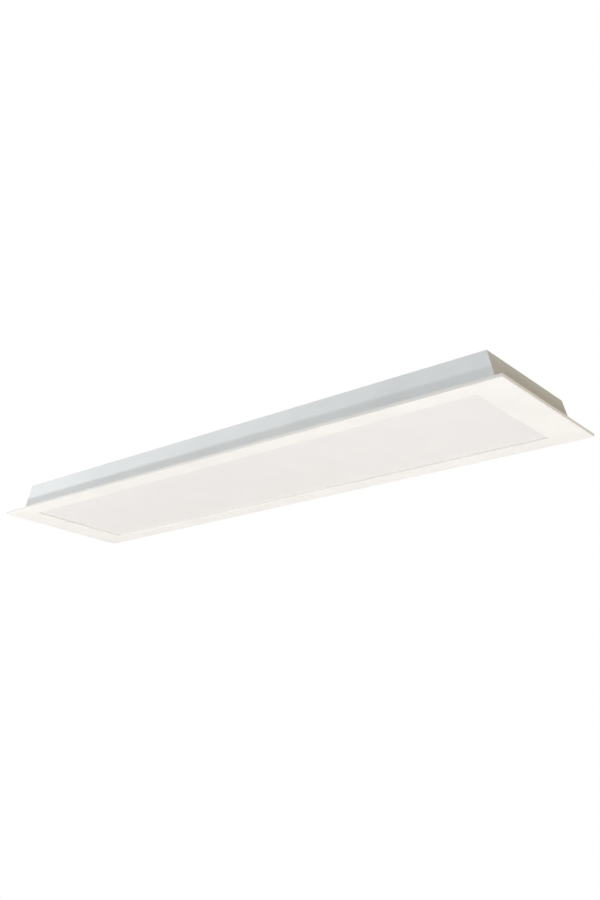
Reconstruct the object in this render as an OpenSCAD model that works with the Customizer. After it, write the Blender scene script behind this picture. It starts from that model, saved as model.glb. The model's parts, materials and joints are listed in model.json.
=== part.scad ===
// Recessed ceiling light: a shallow sheet-metal housing with a mounting flange, closed from below by
// a hinged door frame that carries the opal diffuser. The origin is the centre of the underside, +Z
// is up, +X runs along the length towards the driver end and the door is hinged on the +Y side.

/* [Overall] */
// Length over the door frame
overall_l = 1213; // [900:1:1500]
// Width over the door frame
overall_w = 298; // [290:1:400]
// Height from the underside to the top of the housing
overall_h = 65; // [64:1:90]

/* [Housing] */
// Thickness of the housing and door sheet
sheet_t = 0.9; // [0.7:0.1:1.1]
// Distance from the frame's edge to the foot of a long wall
side_foot_inset = 25; // [22:0.1:27]
// Distance from the frame's edge to the top of a long wall
side_top_inset = 28.3; // [27:0.1:34]
// Distance from the frame's edge to the foot of an end wall
end_foot_inset = 21.6; // [18:0.1:24]
// Distance from the frame's edge to the top of an end wall
end_top_inset = 39.7; // [34:0.1:44]
// Width of the laps that join an end plate to the housing body
lap_w = 16; // [14:0.5:18]
// Width of a pressed stiffening bead on the top
bead_w = 10; // [6:1:16]
// Height of a pressed stiffening bead
bead_h = 1.2; // [0.5:0.1:2]
// Length of a pressed stiffening bead
bead_l = 190; // [100:1:200]
// Distance between two beads of a pair
bead_pitch = 140; // [80:1:170]

/* [Mounting flange] */
// Height of the upright leg of a mounting angle above its flange
leg_h = 4; // [3:0.1:6]
// Gap between the mounting flange and the door's lip
flange_gap = 1.2; // [0.8:0.1:2]

/* [Door] */
// Height of the upturned lip
lip_h = 5.7; // [5:0.1:6.5]
// Outside radius of the bends
bend_r = 1.2; // [1:0.1:1.6]
// Distance from the frame's edge to the window on the long sides
window_side_margin = 35; // [34.5:0.1:40]
// Distance from the frame's edge to the window at the ends
window_end_margin = 64; // [60:0.1:80]
// Depth of the diffuser behind the face
lens_recess = 3.5; // [2.5:0.1:4]
// Thickness of the diffuser
lens_t = 2; // [1.5:0.1:2.4]
// How far the diffuser lies over the window edge
lens_overlap = 3.2; // [2:0.1:3.4]
// Number of diffuser clips along each long side
side_clip_count = 6; // [4:2:10]

/* [Hinges and catches] */
// Distance from the end of the door to the middle of a hinge
hinge_end_inset = 206.5; // [126.5:0.5:400]
// Length of a hinge
hinge_l = 60; // [40:1:100]
// Radius of a hinge pin
pin_r = 0.8; // [0.7:0.05:0.8]
// Distance from the end of the door to the middle of a catch
catch_end_inset = 256.5; // [226.5:0.5:400]

/* [Light engine] */
// Height of the spacers that hold the reflector tray
spacer_h = 14; // [12:0.5:16]
// Height of the lower edges of the reflector wings
wing_z = 24; // [23:0.5:28]
// Distance from a row of boards to the edge of the tray's flat middle
row_edge = 41.9; // [38:0.1:50]
// Width of a board
board_w = 24; // [20:1:26]
// Thickness of a board
board_t = 1.6; // [1:0.1:2]
// Pitch of the lamps on a board
lamp_pitch = 16; // [12:1:40]
// Side of a lamp
lamp_w = 3; // [2:0.1:4]
// Height of a lamp
lamp_h = 0.7; // [0.4:0.1:1]

/* [Driver] */
// Length of the driver case
driver_l = 170; // [150:1:178]
// Width of the driver case
driver_w = 34; // [32:1:35]
// Height of the driver case
driver_h = 24; // [20:0.5:24]

/* [Wiring end] */
// Width of one terminal pole
pole_pitch = 12; // [11:0.5:12]
// Height of the terminal block
block_h = 20; // [19.5:0.5:21]
// Radius of the terminal levers' pivot pin
lever_pin_r = 1; // [0.8:0.1:1.2]
// Radius of the cable entry hole
entry_r = 11.1; // [8:0.1:11.5]
// Length of the access opening across the fixture
access_l = 70; // [50:1:72]
// Width of the access opening
access_w = 38; // [30:1:40]
// Radius of the access plate's hinge knuckles
knuckle_r = 2.1; // [1.9:0.1:2.5]

/* [Suspension] */
// Radius of the suspension holes
hanger_r = 3.5; // [2.5:0.1:5]
// Distance from the end of the fixture to a suspension hole
hanger_end_inset = 126.5; // [126.5:0.5:135]
// Distance from the side of the fixture to a suspension hole
hanger_side_inset = 54; // [50:0.5:70]

/* [Hidden] */

$fn = 48;
white_paint = "white";
sheet_white = "gainsboro";
bright_steel = "silver";

// Clearances: a seat that nearly touches, a running pin, a pin held in its plate, a screw in its hole
seat_gap = 0.3;
pin_clear = 0.06;
held_clear = 0.03;
screw_clear = 0.1;
ceiling_clear = 0.15;
blind_clear = 0.5;
over = 1;

// Screws: shank radius, head radius and head height
screw_r = 1.9;
head_r = 3.8;
head_h = 2;
small_screw_r = 1.4;
small_head_r = 2.6;
small_head_h = 1.6;
tip_l = 1.5;

// Walls: half widths at a height, outside and inside
half_l = overall_l / 2;
half_w = overall_w / 2;
side_slope = (side_top_inset - side_foot_inset) / overall_h;
end_slope = (end_top_inset - end_foot_inset) / overall_h;
side_wall_t = sheet_t / cos(atan(side_slope));
end_wall_t = sheet_t / cos(atan(end_slope));
function side_y(z) = half_w - side_foot_inset - side_slope * z;
function end_x(z) = half_l - end_foot_inset - end_slope * z;
function side_in(z) = side_y(z) - side_wall_t;
function end_in(z) = end_x(z) - end_wall_t;
top_in = overall_h - sheet_t;
lap_under = top_in - sheet_t;

// Mounting flange: its underside, the foot of the walls and its edge, half sizes
flange_under = lip_h - sheet_t;
foot_y = side_y(flange_under);
foot_x = end_x(flange_under);
flange_x = half_l - sheet_t - flange_gap;
flange_y = half_w - sheet_t - flange_gap;
butt_gap = 0.05;

// Door hinges: they lie between the door and the flange, and the door's edge swings up no higher
// than the ceiling, which is level with the top of the lip
hinge_x = half_l - hinge_end_inset;
hinge_z = lip_h / 2;
hinge_y = half_w - hinge_z + ceiling_clear;
hinge_edge_r = half_w - hinge_y;
hinge_lip_h = sheet_t + flange_gap + ceiling_clear - seat_gap;
knuckle_out_r = hinge_z - sheet_t - seat_gap;
leaf_t = 1.2;
leaf_reach = 16;
leaf_gap = 0.4;
knuckle_split = 0.25;
pin_end = 0.5;

// Window and diffuser
window_x = half_l - window_end_margin;
window_y = half_w - window_side_margin;
lens_x = window_x + lens_overlap;
lens_y = window_y + lens_overlap;
lens_top = lens_recess + lens_t;

// Diffuser clips
clip_t = 0.5;
clip_w = 14;
clip_seat = 0.1;
clip_top = lens_top + clip_seat + clip_t;
clip_hold = 2;
clip_gap = 1;
clip_foot = 9;
clip_end_gap = 60;
end_clip_y = 60;

// Reflector tray: a flat middle with wings that slope down at 45 degrees
tray_top = top_in - spacer_h;
tray_under = tray_top - sheet_t;
wing_inset = 2;
wing_y = window_y - wing_inset;
wing_lip = 3;
flat_y = wing_y - (tray_top - wing_z);
reflector_t = sheet_t;
reflector_lap = 12;
reflector_rise = 1.4;
reflector_foot_z = clip_top + reflector_rise;
reflector_top = tray_under - reflector_t;
reflector_wall = reflector_t * sqrt(2);
reflector_screw_y = 25;
spacer_r = 4;
spacer_end_inset = 186.5;
spacer_board_gap = 16;
spacer_x = half_l - spacer_end_inset;
spacer_screw_l = 6;
tray_screw_l = 4;

// Driver case at the +X end
driver_lap_gap = 1;
driver_x1 = end_in(overall_h) - lap_w - driver_lap_gap;
driver_x0 = driver_x1 - driver_w;
driver_side_gap = 24.8;
driver_y0 = -(side_in(overall_h) - driver_side_gap);
driver_y1 = driver_y0 + driver_l;
driver_wall = 1;
driver_foot = 10;
driver_foot_inset = 6;
driver_z = top_in - driver_h;
driver_mid_x = driver_x0 + driver_w / 2;
driver_mid_y = driver_y0 + driver_l / 2;
cover_clear = 0.2;
cover_rim = 3;
lead_hole_clear = 0.4;

// End of the tray: the end reflectors slope down past the driver
reflector_gap = 4.7;
tray_x = driver_x0 - reflector_gap - reflector_wall - (reflector_top - driver_z);

// Boards: two rows of two
row_y = flat_y - row_edge;
spacer_y = row_y + board_w / 2 + spacer_board_gap;
board_gap = 1;
board_end_gap = 5;
board_x = tray_x - reflector_lap - board_end_gap;
board_under = tray_under - board_t;
connector_l = 10;
connector_w = 10;
connector_h = 4;
connector_inset = 9;
connector_x = board_x - connector_inset - connector_l;
link_l = 16;
link_h = 3;
board_screw_edge = 0.9;
board_screw_side = board_w / 2 - small_head_r - board_screw_edge;
board_screw_inner = 24;
board_screw_outer = 26;
board_screw_xs = [board_screw_inner, board_x / 2, board_x - board_screw_outer];

// Driver circuit board and its parts: size and place across the fixture
circuit_z = top_in - driver_wall - 3.5;
circuit_t = 1.6;
circuit_ledge = 2;
circuit_margin = 1.5;
circuit_x0 = driver_x0 + driver_wall + circuit_margin;
circuit_x1 = driver_x1 - driver_wall - circuit_margin;
solder_l = 0.4;
header_inset = 1;
header_l = 8;
header_w = 20;
header_h = 9;
transformer_size = [18, 24, 12];
transformer_y = driver_mid_y + 2;
choke_size = [12, 16, 9];
choke_y = driver_mid_y + 34;
capacitor_r = 4.5;
capacitor_h = 12;
capacitor_inset = 7;
capacitor_ys = [driver_y0 + 23, driver_y0 + 35, driver_y1 - 31];

// Terminal block at the -X end, with its levers on the underside
block_lap_gap = 3;
block_x1 = -(end_in(overall_h) - lap_w - block_lap_gap);
block_l = 26;
block_x0 = block_x1 + block_l;
block_plate_gap = 0.7;
ear_l = 7;
ear_h = 4;
ear_inset = 6;
plate_lap = 5;
block_y0 = access_l / 2 + plate_lap + block_plate_gap + head_r + ear_l / 2;
block_y1 = block_y0 + 3 * pole_pitch;
block_z = top_in - block_h;
lever_w = pole_pitch - 4;
lever_side = 0.3;
lever_t = 2.2;
lever_l = 21;
lever_pivot_x = block_x1 + 5;
lever_pivot_z = block_z + 2.5;
lever_knuckle_r = 2.3;
lever_pin_end = 1.2;
slot_h = 5.4;
slot_l = 8.8;
wire_z = block_z + 12;
wire_r = 1.1;
thin_wire_r = 0.9;
wire_hole_clear = 0.7;
contact_in = 8;
contact_w = 6;
contact_h = 8;
contact_l = 11;
function pole_y(i) = block_y0 + pole_pitch * (i + 0.5);

// Earth screw, cable entry and access opening in the top at the -X end
entry_x = -driver_mid_x;
entry_y = -76;
earth_y = -52;
earth_ring_r = 4;
earth_ring_t = 0.8;
earth_barrel_l = 5;
earth_tongue_w = 2;
washer_r = 4.5;
washer_t = 0.8;
access_shift = 1;
access_x0 = block_x1 + access_shift;
access_x1 = access_x0 + access_w;
plate_t = sheet_t;
knuckle_set = 1.4;
knuckle_x = access_x1 + plate_lap + knuckle_r + knuckle_set;
knuckle_z = overall_h + knuckle_r;
access_pin_r = 1.1;
plate_knuckle_l = 28;
leaf_l = 60;
leaf_w = 11;
knuckle_gap = 0.4;
access_pin_end = 0.5;
finger_lip_h = 3;
finger_lip_w = 16;

// Hanger plates
hanger_x = half_l - hanger_end_inset;
hanger_y = half_w - hanger_side_inset;
hanger_plate_w = 32;
hanger_plate_t = 1.5;

// Catches
catch_x = half_l - catch_end_inset;
catch_w = 14;
spring_t = 0.4;
spring_low = 10;
spring_bridge = 20;
spring_high = 30;
nub_r = 0.8;
bead_grip_r = 1.3;
strike_y = side_in(spring_high) - spring_t - bead_grip_r - 2 * seat_gap;
strike_t = 1.2;
strike_foot = 8;
strike_top = 15;

// Grommet for the low-voltage leads
grommet_x = connector_x + connector_l / 2;
grommet_hole_r = 5;
grommet_flange_r = 6.6;
grommet_bore_r = 3.2;
grommet_lip = 0.8;

// Leads: heights, places across the fixture on the tray and at the driver, and straight ends
lead_split = 1.3;
under_lead_drop = 2.2;
under_lead_z = board_under - under_lead_drop;
lead_rest = 0.1;
top_lead_z = tray_top + wire_r + lead_rest;
led_lead_z = tray_top + grommet_lip + thin_wire_r + lead_rest;
lead_spacing = 8;
neutral_y = spacer_y - lead_spacing;
live_y = neutral_y - lead_spacing;
led_spacer_gap = 20;
led_negative_y = led_spacer_gap - spacer_y;
led_positive_y = led_negative_y + lead_spacing;
case_live_y = driver_y1 - 19;
case_neutral_y = case_live_y + lead_spacing;
case_positive_y = driver_y0 + 51;
case_negative_y = case_positive_y - lead_spacing;
driver_lead_z = circuit_z - 6;
lead_start_x = block_x1 + contact_in + contact_l;
lead_end_x = circuit_x0 + 0.7;
lead_straight = 12;
lead_ramp = 16;
lead_bend = 12;
led_lead_bend = 3.5;
plug_depth = 2;
lead_clip_x = 150;
lead_clip_w = 8;
lead_clip_margin = 3;
lead_clip_roof = 1.4;
lead_clip_clear = 0.15;

// Earth lead: it drops below the access opening and rises beyond it
earth_run_gap = 14;
earth_run_x = block_x0 + earth_run_gap;
earth_run_z = wire_z - 3;
earth_run_y0 = 20;
earth_run_y1 = -(access_l / 2 - 1);
earth_rise = [4, 11, -3.5];

// Height of the lower end of an end plate's laps above the foot of the walls
lap_start = 2;

// Screw places in the top
lap_screw_shift = 2;
lap_screw_x = end_in(overall_h) - lap_w / 2 - lap_screw_shift;
lap_screw_ys = [-60, 0, 60];
terminal_screw_x = block_x1 + block_l / 2;
terminal_screw_ys = [block_y0 - ear_l / 2, block_y1 + ear_l / 2];
driver_screw_ys = [driver_y0 - driver_foot / 2, driver_y1 + driver_foot / 2];

// Plain helpers
module box(low, high) translate(low) cube(high - low);

module both_ends() {
    children();
    mirror([1, 0, 0]) children();
}

module both_sides() {
    children();
    mirror([0, 1, 0]) children();
}

module ring(outer_x, outer_y, inner_x, inner_y, z0, z1) difference() {
    box([-outer_x, -outer_y, z0], [outer_x, outer_y, z1]);
    box([-inner_x, -inner_y, z0 - over], [inner_x, inner_y, z1 + over]);
}

// A section in the YZ plane drawn out along X, and one in the XZ plane drawn out along Y
module along_x(length) rotate([90, 0, 90]) linear_extrude(height = length, center = true) children();

module along_y(length) rotate([90, 0, 0]) linear_extrude(height = length, center = true) children();

// What a bend of the given radius takes off a sharp edge
module bend_section(r) difference() {
    translate([-over, -over]) square([r + over, r + over]);
    translate([r, r]) circle(r);
}

module round_outer_edges(hx, hy, r) {
    both_sides() translate([0, -hy, 0]) along_x(2 * hx + 2 * over) bend_section(r);
    both_ends() translate([-hx, 0, 0]) along_y(2 * hy + 2 * over) bend_section(r);
}

module round_inner_edges(hx, hy, r) {
    both_sides() translate([0, hy, 0]) along_x(2 * hx) bend_section(r);
    both_ends() translate([hx, 0, 0]) along_y(2 * hy) bend_section(r);
}

// A pan-head screw, head up, its seat at z = 0
module screw(r, hr, hh, length) {
    translate([0, 0, -length]) cylinder(r = r, h = length + hh / 2);
    cylinder(r = hr, h = hh);
}

module top_screw(length) translate([0, 0, overall_h]) screw(screw_r, head_r, head_h, length);

module small_screw_up(z, length) translate([0, 0, z]) rotate([180, 0, 0])
    screw(small_screw_r, small_head_r, small_head_h, length);

module hole(r, z0, z1) translate([0, 0, z0]) cylinder(r = r, h = z1 - z0);

module at_lap_screws() both_ends() for (y = lap_screw_ys) translate([lap_screw_x, y, 0]) children();

module at_spacers() for (x = [-spacer_x, 0, spacer_x], y = [-spacer_y, spacer_y])
    translate([x, y, 0]) children();

module at_hangers() both_sides() both_ends() translate([hanger_x, hanger_y, 0]) children();

module at_driver_screws() for (y = driver_screw_ys) translate([driver_mid_x, y, 0]) children();

module at_terminal_screws() for (y = terminal_screw_ys) translate([terminal_screw_x, y, 0]) children();

module at_reflector_screws() both_ends() both_sides()
    translate([tray_x - reflector_lap / 2, reflector_screw_y, 0]) children();

module at_board_screws() both_sides() both_ends() for (x = board_screw_xs)
    translate([x, row_y + board_screw_side, 0]) children();

// Mounting angles: the flange lies against the ceiling, and the leg stands against the wall's foot
module angle_flange(foot, edge) translate([foot, flange_under]) square([edge - foot, sheet_t]);

module angle_leg(foot) translate([foot, flange_under]) square([sheet_t, lip_h + leg_h - flange_under]);

module side_mounting_angle() color(sheet_white) {
    along_x(2 * flange_x) angle_flange(foot_y, flange_y);
    along_x(2 * foot_x) angle_leg(foot_y);
}

module end_mounting_angle() color(sheet_white) along_y(2 * (foot_y - butt_gap)) {
    angle_flange(foot_x, flange_x);
    angle_leg(foot_x);
}

// Housing sections across the fixture: outside, inside, and inside the laps
module outside_section() polygon([
    [-foot_y, flange_under], [foot_y, flange_under],
    [side_y(overall_h), overall_h], [-side_y(overall_h), overall_h]
]);

module inside_section(inset) polygon([
    [-(side_in(0) - inset), 0], [side_in(0) - inset, 0],
    [side_in(top_in) - inset, top_in - inset], [-(side_in(top_in) - inset), top_in - inset]
]);

// A slab parallel to the +X end wall, between two depths from its outer face
module end_slab(d0, d1, z0, z1) along_y(overall_w) polygon([
    [end_x(z0) - d1, z0], [end_x(z0) - d0, z0], [end_x(z1) - d0, z1], [end_x(z1) - d1, z1]
]);

module between_end_plates() along_y(overall_w) polygon([
    [-end_in(0), 0], [end_in(0), 0], [end_in(overall_h + over), overall_h + over],
    [-end_in(overall_h + over), overall_h + over]
]);

module stiffening_bead() translate([0, 0, overall_h - sheet_t / 2])
    linear_extrude(height = bead_h + sheet_t / 2) {
        square([bead_w, bead_l - bead_w], center = true);
        both_sides() translate([0, bead_l / 2 - bead_w / 2]) circle(bead_w / 2);
    }

module housing_body() color(sheet_white) difference() {
    union() {
        intersection() {
            along_x(overall_l) difference() {
                outside_section();
                inside_section(0);
            }
            between_end_plates();
        }
        for (x = [-2, -1, 1, 2]) translate([x * bead_pitch, 0, 0]) stiffening_bead();
    }
    at_lap_screws() hole(screw_r + screw_clear, top_in - over, overall_h + over);
    at_spacers() hole(screw_r + screw_clear, top_in - over, overall_h + over);
    at_driver_screws() hole(screw_r + screw_clear, top_in - over, overall_h + over);
    at_terminal_screws() hole(screw_r + screw_clear, top_in - over, overall_h + over);
    at_hangers() hole(hanger_r, top_in - over, overall_h + over);
    translate([entry_x, entry_y, 0]) hole(entry_r, top_in - over, overall_h + over);
    translate([entry_x, earth_y, 0]) hole(screw_r + screw_clear, top_in - over, overall_h + over);
    box([access_x0, -access_l / 2, top_in - over], [access_x1, access_l / 2, overall_h + over]);
}

// End plate: the sloping wall, with laps inside the top and the long walls
module end_plate() color(sheet_white) difference() {
    union() {
        intersection() {
            along_x(overall_l) outside_section();
            end_slab(0, end_wall_t, flange_under, overall_h);
        }
        intersection() {
            along_x(overall_l) difference() {
                inside_section(0);
                inside_section(sheet_t);
            }
            end_slab(end_wall_t / 2, end_wall_t + lap_w, flange_under + lap_start, top_in);
        }
    }
    at_lap_screws() hole(screw_r + screw_clear, lap_under - over, top_in + over);
}

module hanger_plates() color(bright_steel) at_hangers() difference() {
    translate([0, 0, top_in - hanger_plate_t / 2])
        cube([hanger_plate_w, hanger_plate_w, hanger_plate_t], center = true);
    hole(hanger_r, top_in - hanger_plate_t - over, overall_h);
}

module housing_screws() color(bright_steel) {
    at_lap_screws() top_screw(2 * sheet_t + tip_l);
    at_spacers() top_screw(spacer_screw_l);
}

// Hinge leaves: the middle knuckle hangs from the flange, the outer two stand on the door
module knuckle_section() translate([hinge_y, hinge_z]) circle(knuckle_out_r);

module leaf_strip(z) translate([hinge_y - leaf_reach, z])
    square([leaf_reach - knuckle_out_r - leaf_gap, leaf_t]);

module leaf_tongue(z) translate([hinge_y - leaf_reach, z]) square([leaf_reach, leaf_t]);

module hinge_bore(r) translate([hinge_x, hinge_y, hinge_z]) rotate([0, 90, 0])
    cylinder(r = r, h = hinge_l + 2 * over, center = true);

module housing_hinge_leaf() color(bright_steel) difference() {
    translate([hinge_x, 0, 0]) {
        along_x(hinge_l) leaf_strip(flange_under - leaf_t);
        along_x(hinge_l / 2) {
            knuckle_section();
            leaf_tongue(flange_under - leaf_t);
        }
    }
    hinge_bore(pin_r + held_clear);
}

module door_hinge_leaf() color(bright_steel) difference() {
    knuckle_l = hinge_l / 4 - knuckle_split;
    translate([hinge_x, 0, 0]) {
        along_x(hinge_l) leaf_strip(sheet_t);
        both_ends() translate([hinge_l / 2 - knuckle_l / 2, 0, 0]) along_x(knuckle_l) {
            knuckle_section();
            leaf_tongue(sheet_t);
        }
    }
    hinge_bore(pin_r + pin_clear);
}

module hinge_pin() color(bright_steel) translate([hinge_x, hinge_y, hinge_z]) rotate([0, 90, 0])
    cylinder(r = pin_r, h = hinge_l + 2 * pin_end, center = true);

// Sprung clip: one leaf on the wall, one free leaf with a nub that holds the strike's bead
module catch_springs() color("dimgray") both_ends() translate([catch_x, 0, 0]) mirror([0, 1, 0])
    along_x(catch_w) {
        translate([strike_y + bead_grip_r + seat_gap, spring_low])
            square([spring_t, spring_high - spring_low]);
        translate([strike_y - bead_grip_r - seat_gap - spring_t, spring_bridge])
            square([2 * (bead_grip_r + seat_gap + spring_t), spring_t]);
        translate([strike_y - bead_grip_r - seat_gap - spring_t, spring_low])
            square([spring_t, spring_bridge - spring_low + spring_t]);
        translate([strike_y - strike_t / 2 - seat_gap - nub_r, spring_low + nub_r]) circle(nub_r);
    }

module catch_strikes() color(bright_steel) both_ends() translate([catch_x, 0, 0]) mirror([0, 1, 0])
    along_x(catch_w) {
        translate([strike_y - strike_t / 2, sheet_t]) square([strike_t, strike_top - sheet_t]);
        translate([strike_y - strike_t / 2, sheet_t]) square([strike_foot, strike_t]);
        translate([strike_y, strike_top]) circle(bead_grip_r);
    }

// Reflector tray: one folded sheet, its section drawn along the length
module tray_section(z_shift) polygon(concat(
    [for (p = tray_line()) [p[0], p[1] + z_shift]],
    [for (i = [len(tray_line()) - 1 : -1 : 0]) [tray_line()[i][0], tray_line()[i][1] + z_shift - sheet_t]]
));

function tray_line() = [
    [-wing_y - wing_lip, wing_z], [-wing_y, wing_z], [-flat_y, tray_top],
    [flat_y, tray_top], [wing_y, wing_z], [wing_y + wing_lip, wing_z]
];

module reflector_tray() color(white_paint) difference() {
    along_x(2 * tray_x) tray_section(0);
    at_spacers() hole(small_screw_r + screw_clear, tray_under - over, tray_top + over);
    at_reflector_screws() hole(small_screw_r + screw_clear, tray_under - over, tray_top + over);
    at_board_screws() hole(small_screw_r + screw_clear, tray_under - over, tray_top + over);
    translate([grommet_x, 0, 0]) hole(grommet_hole_r, tray_under - over, tray_top + over);
}

module tray_spacers() color(bright_steel) at_spacers() difference() {
    hole(spacer_r, tray_top, top_in);
    hole(screw_r + screw_clear, overall_h - spacer_screw_l - blind_clear, top_in + over);
    hole(small_screw_r + screw_clear, tray_top - over, tray_top + tray_screw_l + blind_clear);
}

module tray_screws() color(bright_steel) at_spacers()
    small_screw_up(tray_under, sheet_t + tray_screw_l);

// End reflector: a flange under the tray and a plate that slopes down at 45 degrees
module chamber_section() polygon([
    [-(wing_y - seat_gap), reflector_foot_z], [-(wing_y - seat_gap), wing_z - sheet_t],
    [-(flat_y - seat_gap), tray_under], [flat_y - seat_gap, tray_under],
    [wing_y - seat_gap, wing_z - sheet_t], [wing_y - seat_gap, reflector_foot_z]
]);

module end_reflector() color(white_paint) difference() {
    intersection() {
        along_y(overall_w) polygon([
            [tray_x - reflector_lap, reflector_top], [tray_x, reflector_top],
            [tray_x + reflector_top - reflector_foot_z, reflector_foot_z],
            [tray_x + reflector_top - reflector_foot_z + reflector_wall, reflector_foot_z],
            [tray_x + reflector_wall - reflector_t, tray_under], [tray_x - reflector_lap, tray_under]
        ]);
        along_x(overall_l) chamber_section();
    }
    at_reflector_screws() hole(small_screw_r + screw_clear, reflector_top - over, tray_under + over);
}

module reflector_screws() color(bright_steel) at_reflector_screws()
    small_screw_up(reflector_top, reflector_t + sheet_t + tip_l);

// Light-emitting board with its lamps on the underside, drawn for the +X +Y quarter
module led_board() color("whitesmoke") difference() {
    union() {
        box([board_gap, row_y - board_w / 2, board_under], [board_x, row_y + board_w / 2, tray_under]);
        for (x = [lamp_pitch : lamp_pitch : connector_x - lamp_pitch / 2])
            box([x - lamp_w / 2, row_y - lamp_w / 2, board_under - lamp_h],
                [x + lamp_w / 2, row_y + lamp_w / 2, board_under + board_t / 2]);
    }
    for (x = board_screw_xs) translate([x, row_y + board_screw_side, 0])
        hole(small_screw_r + screw_clear, board_under - over, tray_under + over);
}

module board_screws() color(bright_steel) at_board_screws()
    small_screw_up(board_under, board_t + sheet_t + tip_l);

module board_connectors() color("ivory") both_sides() both_ends() difference() {
    box([connector_x, row_y - connector_w / 2, board_under - connector_h],
        [connector_x + connector_l, row_y + connector_w / 2, board_under]);
    for (x = [grommet_x - lead_split, grommet_x + lead_split]) translate([x, row_y, under_lead_z])
        rotate([90, 0, 0]) cylinder(r = thin_wire_r + screw_clear, h = connector_w);
}

module board_links() color("ivory") both_sides()
    box([-link_l / 2, row_y - connector_w / 2, board_under - link_h],
        [link_l / 2, row_y + connector_w / 2, board_under]);

// Driver: a case that opens downwards, with feet, a cover with an inner rim, and its circuit board
module driver_case() color(bright_steel) difference() {
    union() {
        box([driver_x0, driver_y0, driver_z + driver_wall], [driver_x1, driver_y1, top_in]);
        box([driver_x0 + driver_foot_inset, driver_y0 - driver_foot, top_in - driver_wall],
            [driver_x1 - driver_foot_inset, driver_y1 + driver_foot, top_in]);
    }
    box([driver_x0 + driver_wall, driver_y0 + driver_wall, driver_z - over],
        [driver_x1 - driver_wall, driver_y1 - driver_wall, circuit_z]);
    ledge = driver_wall + circuit_ledge;
    box([driver_x0 + ledge, driver_y0 + ledge, circuit_z - over],
        [driver_x1 - ledge, driver_y1 - ledge, top_in - driver_wall]);
    at_driver_screws() hole(screw_r + screw_clear, top_in - driver_wall - over, top_in + over);
    for (y = [case_live_y, case_neutral_y, case_positive_y, case_negative_y])
        translate([driver_x0 - over, y, driver_lead_z]) rotate([0, 90, 0])
            cylinder(r = wire_r + lead_hole_clear, h = driver_wall + 2 * over);
}

module driver_cover() color(bright_steel) {
    rim_out = driver_wall + cover_clear;
    rim_in = 2 * driver_wall + cover_clear;
    box([driver_x0, driver_y0, driver_z], [driver_x1, driver_y1, driver_z + driver_wall]);
    translate([driver_mid_x, driver_mid_y, 0])
        ring(driver_w / 2 - rim_out, driver_l / 2 - rim_out, driver_w / 2 - rim_in, driver_l / 2 - rim_in,
             driver_z + driver_wall / 2, driver_z + driver_wall + cover_rim);
}

// A part that hangs from the circuit board, its pins through the board's underside
module board_part(size, x, y) box(
    [x - size[0] / 2, y - size[1] / 2, circuit_z - circuit_t - size[2]],
    [x + size[0] / 2, y + size[1] / 2, circuit_z - circuit_t + solder_l]
);

module driver_circuit_board() color("seagreen") {
    header_x = circuit_x0 + header_inset + header_l / 2;
    box([circuit_x0, driver_y0 + driver_wall + circuit_margin, circuit_z - circuit_t],
        [circuit_x1, driver_y1 - driver_wall - circuit_margin, circuit_z]);
    for (y = [(case_live_y + case_neutral_y) / 2, (case_positive_y + case_negative_y) / 2])
        board_part([header_l, header_w, header_h - circuit_t], header_x, y);
    board_part(transformer_size, driver_mid_x, transformer_y);
    board_part(choke_size, driver_mid_x, choke_y);
    for (y = capacitor_ys) translate([circuit_x1 - capacitor_inset, y, 0])
        hole(capacitor_r, circuit_z - circuit_t - capacitor_h, circuit_z - circuit_t + solder_l);
}

module driver_screws() color(bright_steel) at_driver_screws() top_screw(sheet_t + driver_wall + tip_l);

// Terminal block: wire holes on both faces, a slot for each lever, a pocket for each clamp
module terminal_block() color("whitesmoke") difference() {
    union() {
        box([block_x1, block_y0, block_z], [block_x0, block_y1, top_in]);
        box([block_x1 + ear_inset, block_y0 - ear_l, top_in - ear_h],
            [block_x0 - ear_inset, block_y1 + ear_l, top_in]);
    }
    for (i = [0 : 2]) {
        translate([block_x1 - over, pole_y(i), wire_z]) rotate([0, 90, 0])
            cylinder(r = wire_r + wire_hole_clear, h = block_l + 2 * over);
        box([block_x1 - over, pole_y(i) - lever_w / 2 - lever_side, block_z - over],
            [block_x1 + slot_l, pole_y(i) + lever_w / 2 + lever_side, block_z + slot_h]);
        contact_box(i, seat_gap);
    }
    translate([lever_pivot_x, block_y0 + lever_pin_end, lever_pivot_z]) rotate([-90, 0, 0])
        cylinder(r = lever_pin_r + held_clear, h = 3 * pole_pitch - 2 * lever_pin_end);
    at_terminal_screws() hole(screw_r + screw_clear, top_in - ear_h - over, top_in + over);
}

module contact_box(i, gap) box(
    [block_x1 + contact_in + seat_gap - gap, pole_y(i) - contact_w / 2 - gap, wire_z - contact_h / 2 - gap],
    [block_x1 + contact_in + seat_gap + contact_l + gap, pole_y(i) + contact_w / 2 + gap,
     wire_z + contact_h / 2 + gap]
);

module terminal_contacts() color("goldenrod") for (i = [0 : 2]) difference() {
    contact_box(i, 0);
    translate([block_x1, pole_y(i), wire_z]) rotate([0, 90, 0])
        cylinder(r = wire_r + screw_clear, h = block_l);
}

module terminal_lever(i) color("orange") translate([0, pole_y(i), 0]) difference() {
    union() {
        translate([lever_pivot_x, 0, lever_pivot_z]) rotate([90, 0, 0])
            cylinder(r = lever_knuckle_r, h = lever_w, center = true);
        box([lever_pivot_x - lever_knuckle_r, -lever_w / 2, block_z - seat_gap - lever_t],
            [lever_pivot_x + lever_knuckle_r, lever_w / 2, lever_pivot_z]);
        box([lever_pivot_x - lever_knuckle_r, -lever_w / 2, block_z - seat_gap - lever_t],
            [lever_pivot_x - lever_knuckle_r + lever_l, lever_w / 2, block_z - seat_gap]);
    }
    translate([lever_pivot_x, 0, lever_pivot_z]) rotate([90, 0, 0])
        cylinder(r = lever_pin_r + pin_clear, h = lever_w + 2 * over, center = true);
}

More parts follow.
